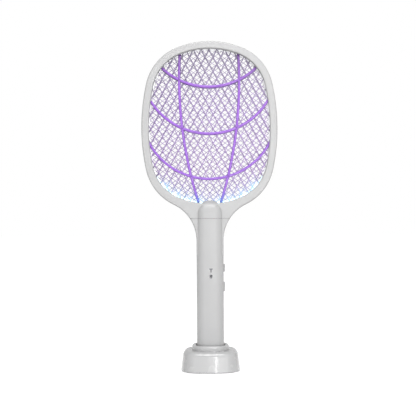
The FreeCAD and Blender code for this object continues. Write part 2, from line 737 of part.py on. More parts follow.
def battery():
    """The rechargeable cell, its cradle and its end contacts."""
    low, high = CELL_Z
    body = rod_z(0, CELL_Y, CELL_RADIUS, low, high - CELL_BUTTON)
    keep("battery_cell", fused([body, rod_z(0, CELL_Y, 3.0, high - CELL_BUTTON - 0.1, high)]))
    room_z = (low - 1.2, high + 1.2)
    ends_z = (room_z[0] - HOLDER_END, room_z[1] + HOLDER_END)
    outer = block((-HOLDER_HALF_X, HOLDER_HALF_X), (CELL_Y, HOLDER_REAR), ends_z)
    room = rod_z(0, CELL_Y, CELL_RADIUS + 0.2, *room_z)
    open_front = block((-9.3, 9.3), (-9, CELL_Y), room_z)
    ends = [block((-8.0, 8.0), (-6.0, CELL_Y + 0.1), (ends_z[0], room_z[0])),
            block((-8.0, 8.0), (-6.0, CELL_Y + 0.1), (room_z[1], ends_z[1]))]
    keep("battery_holder", fused([outer] + ends).cut(room).cut(open_front))
    plate_x = (-3.5, 3.5)
    plate_y = (CELL_Y - 3.5, CELL_Y + 3.5)
    lower = fused([block(plate_x, plate_y, (low - 1.1, low - 0.8)),
                   Part.makeCone(3.2, 1.6, 0.7, Vec(0, CELL_Y, low - 0.8), Vec(0, 0, 1))])
    upper = block(plate_x, plate_y, (high + 0.1, high + 0.6))
    keep("battery_contacts", lower, upper)


def circuit():
    """The board that drives the lamp and raises the mesh voltage."""
    board = block((-9.4, 9.4), (BOARD_FRONT, BOARD_REAR), BOARD_Z)
    keep("main_pcb", board)
    rear = BOARD_REAR
    core_y = (rear + 0.5, rear + 11.5)
    low, high = CORE_Z
    core = fused([block(CORE_X, (core_y[0], core_y[0] + CORE_LIMB), CORE_Z),
                  block(CORE_X, (core_y[1] - CORE_LIMB, core_y[1]), CORE_Z),
                  block(CORE_X, core_y, (low, low + CORE_LIMB)),
                  block(CORE_X, core_y, (high - CORE_LIMB, high)),
                  block((-5.0, -1.0), (rear + 4.5, rear + 7.5), CORE_Z)])
    coil = block((-9.0, 3.0), (rear + 2.6, rear + 9.4), (low + CORE_LIMB + 0.2, high - CORE_LIMB - 0.2))
    coil = coil.cut(block((-5.1, -0.9), (rear + 4.4, rear + 7.6), (low + CORE_LIMB, high - CORE_LIMB)))
    keep("transformer_core", core)
    keep("transformer_coil", coil)
    film = block((-8.5, -2.5), (rear, rear + 11.0), (140.0, 155.0))
    keep("hv_capacitor", film.makeFillet(1.0, [e for e in film.Edges if e.BoundBox.YMin > rear + 10.9]))
    discs = []
    for z in DISC_Z:
        legs = [rod_y(DISC_X + s * 2.0, z, 0.3, rear, rear + 1.6) for s in (-1, 1)]
        discs.append(fused([rod_y(DISC_X, z, 3.2, rear + 1.5, rear + 4.0)] + legs))
    keep("multiplier_capacitors", *discs)
    keep("rectifier_diodes", *[block((-8.0, -3.5), (rear, rear + 2.2), (z - 1.2, z + 1.2)) for z in DIODE_Z])
    package = rod_z(-5.5, rear + 4.2, 2.4, 125.0, 130.0)
    package = package.cut(block((-10, 0), (rear + 5.6, rear + 8), (124.0, 131.0)))
    leads = [block((-5.7 + s * 1.3, -5.3 + s * 1.3), (rear, rear + 3.0), (126.0, 126.4)) for s in (-1, 0, 1)]
    keep("transistor", fused([package] + leads))
    resistors = []
    low, high = RESISTOR_Z
    for x in RESISTOR_X:
        legs = [rod_y(x, z, 0.4, BOARD_FRONT - 1.0, BOARD_FRONT) for z in (low + 1.0, high - 1.0)]
        resistors.append(fused([rod_z(x, BOARD_FRONT - 1.3, 1.2, low, high)] + legs))
    keep("resistors", *resistors)
    leds = [block((SYMBOL_X - 1.4, SYMBOL_X + 1.4), (BOARD_FRONT - 1.2, BOARD_FRONT), (z - 0.8, z + 0.8))
            for z in (LAMP_SYMBOL_Z, ZAP_SYMBOL_Z)]
    keep("indicator_leds", *leds)


def wiring():
    """Insulated wires inside the swatter."""
    top = BOARD_Z[1]
    to_front = [Vec(-6, -2.6, top - 3), Vec(-6, -2.6, top + 8), Vec(-6, -3.1, 206)]
    to_centre = [Vec(0, -2.6, top - 3), Vec(0, -2.6, top + 6), Vec(6, 2.2, top + 14), Vec(6, 2.2, 207)]
    to_rear = [Vec(-3, 0.6, top - 3), Vec(-3, 0.6, top + 6), Vec(-6, 2.9, top + 12), Vec(-6, 2.9, 207)]
    keep("hv_wires", wire_run(to_front, 0.8, 4.0), wire_run(to_centre, 0.8, 3.0), wire_run(to_rear, 0.8, 3.0))
    lamp = [wire_run([Vec(s * 8.0, -3.6 + s * 0.2, top - 3), Vec(s * 8.0, -3.6 + s * 0.2, top + 6),
                      Vec(s * 13.0, -2.4, 206.0), Vec(s * 13.0, -2.4, 213.5)], 0.6, 3.0) for s in (-1, 1)]
    keep("led_wires", *lamp)
    low, high = CELL_Z
    feed = [
        wire_run([Vec(3.0, -3.2, high + 3.6), Vec(3.0, -3.2, 102.0)], 0.7, 2.0),
        wire_run([Vec(-9.0, -7.5, low + 2), Vec(-9.0, -7.5, 80.0), Vec(-8.0, -7.5, 100.0)], 0.7, 10.0),
    ]
    keep("battery_wires", *feed)


# ---- dock --------------------------------------------------------------------------------------

def usb_form(outset, near, far):
    """The inlet's flat rounded outline, grown by outset, from y = near to y = far."""
    half_x = USB_HALF_X + outset
    half_z = USB_HALF_Z + outset
    form = block((-half_x, half_x), (near, far), (USB_Z - half_z, USB_Z + half_z))
    return form.makeFillet(half_z - 0.2, [e for e in form.Edges if e.BoundBox.YLength > (far - near) / 2])


def dock_body():
    """The dock's housing: a tapered rounded block, a round lip and a well for the handle."""
    body = Part.makeLoft([dock_section(0, DOCK_UNDERSIDE), dock_section(0, DOCK_TOP)], True, True)
    shoulder = [e for e in body.Edges if e.BoundBox.ZMin > DOCK_TOP - 0.01]
    body = body.makeFillet(DOCK_SHOULDER, shoulder)
    lip = column(handle_section(-LIP_OUT, DOCK_TOP - 2), LIP_TOP - DOCK_TOP + 2)
    rounds = [e for e in lip.Edges if e.BoundBox.ZMin > LIP_TOP - 0.01]
    lip = lip.makeFillet(LIP_ROUND, rounds)
    inside = Part.makeLoft([dock_section(DOCK_WALL, DOCK_UNDERSIDE - 1),
                            dock_section(DOCK_WALL, DOCK_TOP - DOCK_WALL)], True, True)
    inner_shoulder = [e for e in inside.Edges if e.BoundBox.ZMin > DOCK_TOP - DOCK_WALL - 0.01]
    inside = inside.makeFillet(DOCK_SHOULDER - DOCK_WALL, inner_shoulder)
    sleeve_bottom = WELL_FLOOR - WELL_FLOOR_THICK
    sleeve = column(handle_section(-WELL_GAP - DOCK_WALL, sleeve_bottom), DOCK_TOP - sleeve_bottom)
    well = column(handle_section(-WELL_GAP, WELL_FLOOR), LIP_TOP + 1 - WELL_FLOOR)
    shell = fused([body.cut(inside), sleeve, lip]).cut(well)
    inner_reach = HANDLE_HALF_X + WELL_GAP + 0.1
    mouth = [e for e in shell.Edges if e.BoundBox.ZMin > LIP_TOP - 0.01
             and max(abs(e.BoundBox.XMin), abs(e.BoundBox.XMax)) < inner_reach]
    shell = shell.makeFillet(MOUTH_ROUND, mouth)
    for s in (-1, 1):
        shell = shell.cut(rod_z(s * POGO_X, 0, POGO_RADIUS + 0.35, sleeve_bottom - 1, WELL_FLOOR + 1))
    return shell.cut(usb_form(0.25, USB_FRONT - 2, DOCK_HALF_Y + 3))


def dock():
    """Everything in and under the dock."""
    corners = [(sx * DOCK_SCREW_X, sy * DOCK_SCREW_Y) for sx in (-1, 1) for sy in (-1, 1)]
    shell = dock_body()
    posts = [rod_z(x, y, 3.0, PLATE_TOP, DOCK_TOP - 2) for x, y in corners]
    shell = shell.multiFuse(posts)
    for x, y in corners:
        shell = shell.cut(rod_z(x, y, DOCK_SCREW_RADIUS + SCREW_FIT, PLATE_TOP - 1, 14.0))
    keep("dock_shell", shell)
    plate = column(dock_section(DOCK_WALL + 0.5, DOCK_UNDERSIDE), PLATE_TOP - DOCK_UNDERSIDE)
    groove_bottom = DOCK_UNDERSIDE - 1
    groove = column(dock_section(FOOT_INSET, groove_bottom), FOOT_TOP - groove_bottom)
    island = column(dock_section(FOOT_INSET + FOOT_WIDTH, groove_bottom), FOOT_TOP - groove_bottom)
    plate = plate.cut(groove.cut(island))
    screws = []
    for x, y in corners:
        plate = plate.cut(rod_z(x, y, DOCK_SCREW_RADIUS + 0.1, 0, PLATE_TOP + 1))
        plate = plate.cut(rod_z(x, y, 2.5, 0, FOOT_TOP + 0.7))
        shank = rod_z(x, y, DOCK_SCREW_RADIUS, FOOT_TOP + 0.5, 12.5)
        screws.append(fused([shank, rod_z(x, y, 2.3, FOOT_TOP - 0.6, FOOT_TOP + 0.7)]))
    x, y = DOCK_STAND
    stand = block((x - 2, x + 2), (y - 2, y + 2), (PLATE_TOP - 0.5, DOCK_BOARD_Z[0]))
    stands = [stand.translated(Vec(-move_x, -move_y, 0)) for move_x in (0, 2 * x) for move_y in (0, 2 * y)]
    keep("dock_base_plate", fused([plate] + stands))
    keep("dock_screws", *screws)
    ring = column(dock_section(FOOT_INSET + 0.2, 0), FOOT_TOP)
    keep("rubber_foot_ring", ring.cut(column(dock_section(FOOT_INSET + FOOT_WIDTH - 0.2, 0), FOOT_TOP)))
    keep("dock_pcb", block((-20, 20), (-18, 32.0), DOCK_BOARD_Z))
    back_wall = USB_FRONT + 1.0
    tube = usb_form(0, USB_FRONT, USB_REAR).cut(usb_form(-USB_SHEET, back_wall, USB_REAR + 1))
    legs = block((-4.3, 4.3), (USB_FRONT + 0.2, USB_FRONT + 3.2), (DOCK_BOARD_Z[1], USB_Z - USB_HALF_Z + 0.1))
    keep("usb_socket", fused([tube, legs]))
    keep("usb_tongue", block((-3.3, 3.3), (back_wall, USB_REAR - 1.0), (USB_Z - 0.35, USB_Z + 0.35)))
    charger()


def charger():
    """The two sprung contacts that stand under the well's floor."""
    board = DOCK_BOARD_Z[1]
    tip = PAD_Z - 0.3
    barrel_floor = board + 0.4
    barrel_top = WELL_FLOOR - WELL_FLOOR_THICK - 0.1
    barrels = []
    for side, s in (("left", -1), ("right", 1)):
        x = s * POGO_X
        barrel = rod_z(x, 0, BARREL_RADIUS, board, barrel_top)
        bore = rod_z(x, 0, POGO_RADIUS + POGO_FIT, barrel_floor, barrel_top + 1)
        barrels.append(barrel.cut(bore))
        pin = rod_z(x, 0, POGO_RADIUS, board + 1.9, tip - 0.6)
        nose = Part.makeSphere(POGO_RADIUS, Vec(x, 0, tip - POGO_RADIUS))
        keep(side + "_contact_pin", fused([pin, nose]))
        helix = Part.makeHelix(SPRING_PITCH, SPRING_HEIGHT, SPRING_RADIUS)
        section = Part.Wire(Part.makeCircle(SPRING_WIRE, Vec(SPRING_RADIUS, 0, 0), Vec(0, 1, 0)))
        coil = Part.Wire(helix.Edges).makePipeShell([section], True, False)
        coil.translate(Vec(x, 0, barrel_floor + SPRING_WIRE))
        keep(side + "_contact_spring", coil)
    keep("contact_barrels", *barrels)


# ---- build -------------------------------------------------------------------------------------

def main():
    os.makedirs("parts", exist_ok=True)
    shells()
    head_stack()
    controls()
    end_cap()
    battery()
    circuit()
    wiring()
    dock()
    for name, shape in sorted(PARTS.items()):
        shape.exportStep("parts/" + name + ".step")
        print(name, len(shape.Solids), round(shape.Volume, 1), shape.isValid())


main()
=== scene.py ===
"""Electric fly swatter in its charging dock: looks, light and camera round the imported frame. Metres."""

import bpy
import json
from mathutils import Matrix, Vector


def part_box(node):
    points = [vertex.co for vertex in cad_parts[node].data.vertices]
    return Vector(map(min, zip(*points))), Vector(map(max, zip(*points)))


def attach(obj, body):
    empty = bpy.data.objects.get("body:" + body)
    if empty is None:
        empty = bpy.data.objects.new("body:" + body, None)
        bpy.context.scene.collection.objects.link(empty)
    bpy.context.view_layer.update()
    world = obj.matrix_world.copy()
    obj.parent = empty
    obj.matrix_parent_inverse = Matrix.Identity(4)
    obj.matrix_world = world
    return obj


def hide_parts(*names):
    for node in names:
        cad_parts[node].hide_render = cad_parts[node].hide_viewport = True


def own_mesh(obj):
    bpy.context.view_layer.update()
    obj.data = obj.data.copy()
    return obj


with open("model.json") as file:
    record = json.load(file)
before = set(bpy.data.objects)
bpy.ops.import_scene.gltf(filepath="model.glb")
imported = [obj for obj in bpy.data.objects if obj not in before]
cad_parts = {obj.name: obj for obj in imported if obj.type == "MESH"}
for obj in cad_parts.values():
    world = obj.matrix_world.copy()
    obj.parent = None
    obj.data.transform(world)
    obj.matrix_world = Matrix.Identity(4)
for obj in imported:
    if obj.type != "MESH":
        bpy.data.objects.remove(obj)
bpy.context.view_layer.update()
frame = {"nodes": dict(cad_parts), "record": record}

import bmesh
import bpy
import json
import math
from mathutils import Matrix, Vector

NODES = frame["nodes"]
MM = 0.001
HEAD_LOW, HEAD_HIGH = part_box("head_front_shell")
MESH_LOW, MESH_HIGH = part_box("centre_mesh")
WINDOW_LOW, WINDOW_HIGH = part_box("led_window")


# ---- the head's outline, worked out from the frame ---------------------------------------------

# The frame's width, and the radii of the opening's six tangent arcs from top to bottom.
RING_WIDTH = 9.8 * MM
TOP_R, UPPER_CORNER_R, UPPER_SIDE_R = 104.2 * MM, 57.2 * MM, 263.7 * MM
LOWER_SIDE_R, LOWER_CORNER_R, BOTTOM_R = 243.0 * MM, 56.4 * MM, 102.4 * MM

# The opening, whose sides are widest apart at WIDEST_Z. The centre mesh reaches past its edge by MESH_OUTSET,
# and the pieces built here stop just short of that.
OPEN_HALF = HEAD_HIGH.x - RING_WIDTH
OPEN_TOP = HEAD_HIGH.z - RING_WIDTH
MESH_OUTSET = MESH_HIGH.z - OPEN_TOP
OPEN_BOTTOM = MESH_LOW.z + MESH_OUTSET
STACK_OUTSET = MESH_OUTSET - 0.3 * MM
WIDEST_Z = OPEN_TOP - 104.7 * MM

# How coarsely the opening's edge is drawn: to place the lamps, where it is seen, and to bound a cut.
LAMP_STEP = 0.8 * MM
EDGE_STEP = 1.5 * MM
CUT_STEP = 6 * MM


def circles_meet(first, first_radius, second, second_radius, highest):
    """Where two circles cross: the higher or the lower of the two points."""
    across = second - first
    apart = across.length
    along = (first_radius ** 2 - second_radius ** 2 + apart ** 2) / (2 * apart)
    off = math.sqrt(first_radius ** 2 - along ** 2)
    foot = first + across * (along / apart)
    side = Vector((-across.y, across.x)) * (off / apart)
    ends = (foot + side, foot - side)
    return max(ends, key=lambda p: p.y) if highest else min(ends, key=lambda p: p.y)


def bearing(start, end):
    """The direction from one point to another, in radians."""
    return math.atan2(end.y - start.y, end.x - start.x)


def opening_arcs():
    """The right half of the head's opening from top to bottom, as (centre, radius, start, end)."""
    top = Vector((0, OPEN_TOP - TOP_R))
    upper = Vector((OPEN_HALF - UPPER_SIDE_R, WIDEST_Z))
    lower = Vector((OPEN_HALF - LOWER_SIDE_R, WIDEST_Z))
    bottom = Vector((0, OPEN_BOTTOM + BOTTOM_R))
    high = circles_meet(top, TOP_R - UPPER_CORNER_R, upper, UPPER_SIDE_R - UPPER_CORNER_R, True)
    low = circles_meet(lower, LOWER_SIDE_R - LOWER_CORNER_R, bottom, BOTTOM_R - LOWER_CORNER_R, False)
    return [
        (top, TOP_R, math.pi / 2, bearing(top, high)),
        (high, UPPER_CORNER_R, bearing(top, high), bearing(upper, high)),
        (upper, UPPER_SIDE_R, bearing(upper, high), 0.0),
        (lower, LOWER_SIDE_R, 0.0, bearing(lower, low)),
        (low, LOWER_CORNER_R, bearing(lower, low), bearing(bottom, low)),
        (bottom, BOTTOM_R, bearing(bottom, low), -math.pi / 2),
    ]


def opening_loop(outset, step=EDGE_STEP):
    """Points round the opening grown by outset, anticlockwise from the bottom, as (x, z) pairs."""
    right = []
    for centre, radius, start, end in reversed(opening_arcs()):
        reach = radius + outset
        count = max(2, math.ceil(reach * abs(end - start) / step))
        for i in range(count):
            angle = end + (start - end) * i / count
            right.append((centre.x + reach * math.cos(angle), centre.y + reach * math.sin(angle)))
    left = [(-x, z) for x, z in reversed(right[1:])]
    return right + [(0.0, OPEN_TOP + outset)] + left


# ---- materials -----------------------------------------------------------------------------------

def new_material(name):
    """A material with a Principled shader, its tree and that shader."""
    material = bpy.data.materials.new(name)
    material.use_nodes = True
    tree = material.node_tree
    return material, tree, tree.nodes["Principled BSDF"]


def object_point(tree):
    """The object-space position, in metres."""
    return tree.nodes.new("ShaderNodeTexCoord").outputs["Object"]


def noise(tree, scale, detail=3.0, point=None):
    """A noise texture's value over the object, with scale in cells per metre."""
    node = tree.nodes.new("ShaderNodeTexNoise")
    node.inputs["Scale"].default_value = scale
    node.inputs["Detail"].default_value = detail
    tree.links.new(point or object_point(tree), node.inputs["Vector"])
    return node.outputs["Fac"]


def ramp(tree, value, stops):
    """A colour ramp over a value; stops are (position, colour)."""
    node = tree.nodes.new("ShaderNodeValToRGB")
    elements = node.color_ramp.elements
    while len(elements) < len(stops):
        elements.new(0.5)
    for element, (position, colour) in zip(elements, stops):
        element.position = position
        element.color = (*colour, 1.0)
    tree.links.new(value, node.inputs["Fac"])
    return node.outputs["Color"]


def bump(tree, shader, height, distance):
    """Feeds a height into the shader's normal."""
    node = tree.nodes.new("ShaderNodeBump")
    node.inputs["Distance"].default_value = distance
    tree.links.new(height, node.inputs["Height"])
    tree.links.new(node.outputs["Normal"], shader.inputs["Normal"])


def part_of(tree, vector, axis):
    """One component of a vector."""
    split = tree.nodes.new("ShaderNodeSeparateXYZ")
    tree.links.new(vector, split.inputs["Vector"])
    return split.outputs[axis]


def rescale(tree, value, low, high):
    """A value rescaled so that low becomes 0 and high becomes 1, and held between them."""
    node = tree.nodes.new("ShaderNodeMapRange")
    node.inputs["From Min"].default_value = low
    node.inputs["From Max"].default_value = high
    tree.links.new(value, node.inputs["Value"])
    return node.outputs["Result"]


def multiply(tree, colour, tint, share=1.0):
    """A colour darkened or tinted by another, fully or in part."""
    node = tree.nodes.new("ShaderNodeMixRGB")
    node.blend_type = "MULTIPLY"
    node.inputs["Fac"].default_value = share
    tree.links.new(colour, node.inputs[1])
    tree.links.new(tint, node.inputs[2])
    return node.outputs["Color"]


def shade(colour, factor):
    """A colour scaled by a factor."""
    return tuple(min(1.0, c * factor) for c in colour)


def line_mask(tree, axis, place, width):
    """1 inside a thin band about place along one axis of the object, else 0."""
    band = tree.nodes.new("ShaderNodeMath")
    band.operation = "COMPARE"
    band.inputs[1].default_value = place
    band.inputs[2].default_value = width / 2
    tree.links.new(part_of(tree, object_point(tree), axis), band.inputs[0])
    return band.outputs["Value"]


def moulded_plastic(name, colour, roughness, grain=2600.0, grain_depth=0.02 * MM, coat=0.0, spread=0.03):
    """Moulded plastic: faint flow marks in its colour, a spark-eroded grain and slightly uneven gloss."""
    material, tree, shader = new_material(name)
    flow = noise(tree, 28.0, 4.0)
    tint = ramp(tree, flow, [(0.3, shade(colour, 1 - spread)), (0.7, shade(colour, 1 + spread))])
    tree.links.new(tint, shader.inputs["Base Color"])
    gloss = noise(tree, 90.0, 5.0)
    low, high = roughness * 0.9, roughness * 1.12
    rough = ramp(tree, gloss, [(0.3, (low, low, low)), (0.7, (high, high, high))])
    tree.links.new(rough, shader.inputs["Roughness"])
    bump(tree, shader, noise(tree, grain, 2.0), grain_depth)
    shader.inputs["IOR"].default_value = 1.5
    if coat:
        shader.inputs["Coat Weight"].default_value = coat
        shader.inputs["Coat Roughness"].default_value = 0.06
    return material


def shell_plastic(name, colour, roughness):
    """The swatter's satin shells: moulded grain, thin parting lines, painted shade in the creases and painted
    shade on the undersides.
    """
    material = moulded_plastic(name, colour, roughness, grain_depth=FINE_GRAIN, spread=FAINT_SPREAD)
    tree = material.node_tree
    shader = tree.nodes["Principled BSDF"]
    plain = shader.inputs["Base Color"].links[0].from_socket
    # Painted shade: the colour is darkened in creases, where the shell closes round itself.
    hollow = tree.nodes.new("ShaderNodeAmbientOcclusion")
    hollow.inputs["Distance"].default_value = CREASE_SHADE_REACH
    hollow.samples = 16
    hollow.only_local = True
    openness = ramp(tree, hollow.outputs["AO"], [(0.3, (0.5, 0.5, 0.5)), (0.95, (1, 1, 1))])
    crease_shaded = multiply(tree, plain, openness, 0.6)
    # Painted shade: surfaces facing down are darkened.
    upward = part_of(tree, tree.nodes.new("ShaderNodeTexCoord").outputs["Normal"], "Z")
    underside_shade = ramp(tree, rescale(tree, upward, -0.75, -0.1), [(0.0, (0.66, 0.66, 0.66)), (1.0, (1, 1, 1))])
    below = multiply(tree, crease_shaded, underside_shade)
    for axis, place, width in (("Z", SEAM_Z, SEAM_WIDTH), ("Y", 0.0, PARTING_WIDTH)):
        line = tree.nodes.new("ShaderNodeMixRGB")
        tree.links.new(line_mask(tree, axis, place, width), line.inputs["Fac"])
        tree.links.new(below, line.inputs[1])
        line.inputs[2].default_value = (*shade(colour, 0.35), 1)
        below = line.outputs["Color"]
    tree.links.new(below, shader.inputs["Base Color"])
    return material


def bare_metal(name, colour, roughness, scratch=900.0):
    """Bare metal with fine drawing marks."""
    material, tree, shader = new_material(name)
    shader.inputs["Metallic"].default_value = 1.0
    marks = noise(tree, scratch, 4.0)
    tint = ramp(tree, marks, [(0.3, shade(colour, 0.9)), (0.7, shade(colour, 1.08))])
    tree.links.new(tint, shader.inputs["Base Color"])
    low, high = roughness * 0.8, roughness * 1.25
    rough = ramp(tree, marks, [(0.3, (low, low, low)), (0.7, (high, high, high))])
    tree.links.new(rough, shader.inputs["Roughness"])
    bump(tree, shader, marks, 0.01 * MM)
    return material


def lamp_plastic(name, colour, strength):
    """The glowing face of a small lamp."""
    material = moulded_plastic(name, colour, 0.2)
    shader = material.node_tree.nodes["Principled BSDF"]
    shader.inputs["Emission Color"].default_value = (*colour, 1)
    shader.inputs["Emission Strength"].default_value = strength
    return material


def paint_lamp_glow(material, colour, strength):
    """Paints lamp light into a material as glow, by the mesh's own glow values: a painted glow on a part that
    is no lamp.
    """
    tree = material.node_tree
    shader = tree.nodes["Principled BSDF"]
    glow = tree.nodes.new("ShaderNodeAttribute")
    glow.attribute_name = "glow"
    power = tree.nodes.new("ShaderNodeMath")
    power.operation = "MULTIPLY"
    power.inputs[1].default_value = strength
    tree.links.new(glow.outputs["Fac"], power.inputs[0])
    tree.links.new(power.outputs["Value"], shader.inputs["Emission Strength"])
    shader.inputs["Emission Color"].default_value = (*colour, 1)
    return material


def paint_light_by_height(material, low, high, stops):
    """Multiplies a material's colour by a tint that changes with height: painted light and shade."""
    tree = material.node_tree
    shader = tree.nodes["Principled BSDF"]
    plain = shader.inputs["Base Color"].links[0].from_socket
    level = rescale(tree, part_of(tree, object_point(tree), "Z"), low, high)
    tree.links.new(multiply(tree, plain, ramp(tree, level, stops)), shader.inputs["Base Color"])
    return material


# The line where the handle's shells meet the head's, and the one where front and rear halves meet.
SEAM_Z = HEAD_LOW.z
SEAM_WIDTH = 0.48 * MM
PARTING_WIDTH = 0.3 * MM
# How far the painted crease shade reaches.
CREASE_SHADE_REACH = 15 * MM

# Depths of the moulded surfaces' grain, and how much the plain plastics' colour wanders.
GLOSS_GRAIN, FINE_GRAIN = 0.003 * MM, 0.008 * MM
COARSE_GRAIN, RUBBER_GRAIN = 0.04 * MM, 0.06 * MM
FAINT_SPREAD = 0.012

GREY = (0.344, 0.344, 0.346)

# Painted light and shade as tints from the opening's bottom to its top: painted lamp light below, painted
# shade near the top.
GUARD_LIGHT_STOPS = [
    (0.0, (0.4, 2.6, 1.3)),
    (0.035, (0.55, 1.5, 1.15)),
    (0.09, (0.95, 1.0, 1.0)),
    (0.75, (1.0, 1.0, 1.0)),
    (0.97, (0.62, 0.75, 0.55)),
]
# The mesh metal's painted light: bluish and violet painted lamp light low down, painted shade near the top.
METAL_LIGHT_STOPS = [
    (0.0, (0.92, 1.03, 1.12)),
    (0.2, (1.03, 0.95, 1.08)),
    (0.6, (1.0, 0.95, 1.08)),
    (0.85, (0.95, 1.0, 0.95)),
    (1.0, (0.85, 0.92, 0.84)),
]
MATERIALS = {
    "grey_shell": shell_plastic("grey_shell", GREY, 0.38),
    "grey_controls": moulded_plastic("grey_controls", shade(GREY, 0.93), 0.46),
    "dock_gloss": moulded_plastic(
        "dock_gloss", shade(GREY, 1.07), 0.26, 1400.0, GLOSS_GRAIN, coat=0.25, spread=FAINT_SPREAD),
    "dock_base": moulded_plastic("dock_base", shade(GREY, 0.9), 0.55, grain_depth=COARSE_GRAIN),
    # The guard's violet plastic, tinted by height: painted lamp light low down, painted shade near the top.
    "guard": paint_light_by_height(
        moulded_plastic("guard", (0.215, 0.07, 0.43), 0.32, coat=0.2), OPEN_BOTTOM, OPEN_TOP, GUARD_LIGHT_STOPS),
    # The mesh metal: its violet tint, its tint by height and its glow are painted lamp light, with painted
    # shade near the top.
    "mesh_metal": paint_lamp_glow(
        paint_light_by_height(bare_metal("mesh_metal", (0.22, 0.178, 0.275), 0.42), OPEN_BOTTOM, OPEN_TOP, METAL_LIGHT_STOPS),
        (0.22, 0.8, 1.0), 0.95),
    "insulator": moulded_plastic("insulator", (0.86, 0.86, 0.88), 0.4),
    # The lamp window: clear plastic that glows with painted lamp light.
    "clear_lens": paint_lamp_glow(
        moulded_plastic("clear_lens", (0.8, 0.92, 1.0), 0.15, coat=0.4), (0.5, 0.85, 1.0), 2.2),
    "symbol_lens": moulded_plastic("symbol_lens", (0.13, 0.13, 0.14), 0.25, coat=0.3, spread=0.1),
    "led_tape": moulded_plastic("led_tape", (0.85, 0.85, 0.82), 0.5),
    "uv_led": lamp_plastic("uv_led", (0.6, 0.88, 1.0), 6.0),
    "indicator_led": moulded_plastic("indicator_led", (0.85, 0.85, 0.75), 0.3),
    "contact_metal": bare_metal("contact_metal", (0.83, 0.66, 0.33), 0.3),
    "spring_steel": bare_metal("spring_steel", (0.6, 0.6, 0.6), 0.3),
    "screw_steel": bare_metal("screw_steel", (0.56, 0.56, 0.57), 0.35),
    "foot_rubber": moulded_plastic(
        "foot_rubber", (0.05, 0.05, 0.05), 0.8, grain=1200.0, grain_depth=RUBBER_GRAIN),
    "cell_wrap": moulded_plastic("cell_wrap", (0.06, 0.2, 0.5), 0.3, coat=0.4),
    "black_plastic": moulded_plastic("black_plastic", (0.03, 0.03, 0.03), 0.5),
    "circuit_board": moulded_plastic("circuit_board", (0.02, 0.16, 0.06), 0.4, coat=0.3, spread=0.12),
    "ferrite": moulded_plastic("ferrite", (0.05, 0.05, 0.055), 0.6),
    "coil_tape": moulded_plastic("coil_tape", (0.7, 0.5, 0.06), 0.3, coat=0.3),
    "film_capacitor": moulded_plastic("film_capacitor", (0.3, 0.04, 0.02), 0.25, coat=0.4),
    "ceramic_disc": moulded_plastic("ceramic_disc", (0.04, 0.13, 0.42), 0.4),
    "resistor_body": moulded_plastic("resistor_body", (0.6, 0.45, 0.26), 0.4),
    "switch_steel": bare_metal("switch_steel", (0.62, 0.62, 0.62), 0.3),
    "red_wire": moulded_plastic("red_wire", (0.5, 0.02, 0.02), 0.5),
    "white_wire": moulded_plastic("white_wire", (0.8, 0.8, 0.8), 0.5),
    "black_wire": moulded_plastic("black_wire", (0.02, 0.02, 0.02), 0.5),
}


def paint(obj, material):
    """Gives an object one material."""
    obj.data.materials.clear()
    obj.data.materials.append(material)


def paint_nodes():
    """Gives every carried CAD node the material of its slot."""
    for entry in frame["record"]["subparts"]:
        paint(NODES[entry["node"]], MATERIALS[entry["material_slot"]])


# ---- pieces built for looks ------------------------------------------------------------------------

# Where the lamps stand, to either side of the middle and just outside the opening's edge.
LED_X = (12.9 * MM, 29.6 * MM, 45.4 * MM, 60.5 * MM)
LED_OUTSET = 1.0 * MM

# Where the meshes' and the guards' flat borders begin, outside the opening's edge.
MESH_BORDER = 0.8 * MM
GUARD_BORDER = 0.6 * MM

# The meshes' sheet, and the round on its edges.
SHEET_THICKNESS = 0.45 * MM
SHEET_ROUND = 0.11 * MM

# The guards' ribs: two upright arcs, and three hanging ones by how far they hang below the opening's top.
# Their ends run RIB_REACH past the opening's edge.
RIB_HALF_WIDTH = 1.65 * MM
RIB_STEP = 2.5 * MM
RIB_REACH = 1.5 * MM
UPRIGHT_R = 540 * MM
UPRIGHT_X = 39.5 * MM
UPRIGHT_Z = OPEN_TOP - 39.9 * MM
UPRIGHT_HALF_ANGLE = 0.5
HANGING_R = 90.4 * MM
HANGING_DEPTHS = (49.3 * MM, 111.0 * MM, 170.5 * MM)

# The contact springs' wire, by its radius, and the round on the symbols' edges.
SPRING_WIRE = 0.13 * MM
SYMBOL_ROUND = 0.1 * MM


def mesh_from(bm, name):
    """A mesh of what has been built, with the workings freed."""
    mesh = bpy.data.meshes.new(name)
    bm.to_mesh(mesh)
    bm.free()
    return mesh


def join_rings(bm, rings):
    """A closed tube through rings of vertices, all of one length."""
    for ring, following in zip(rings, rings[1:]):
        for i in range(len(ring)):
            j = (i + 1) % len(ring)
            bm.faces.new((ring[i], ring[j], following[j], following[i]))
    bm.faces.new(rings[0])
    bm.faces.new(reversed(rings[-1]))


def finish_piece(name, mesh, node, slot_name, body="racket"):
    """Links a mesh as the piece that stands for a CAD node, with its slot's material, on a body."""
    obj = bpy.data.objects.new(name, mesh)
    bpy.context.scene.collection.objects.link(obj)
    paint(obj, MATERIALS[slot_name])
    mesh.shade_smooth()
    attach(obj, body)
    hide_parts(node)
    return obj


def lower_edge(x, outset):
    """The point of the opening's lower edge, grown by outset, that lies at x."""
    loop = [p for p in opening_loop(outset, LAMP_STEP) if p[1] < WIDEST_Z]
    return min(loop, key=lambda p: abs(p[0] - x))


LAMP_POINTS = [lower_edge(s * x, LED_OUTSET) for x in LED_X for s in (-1, 1)]


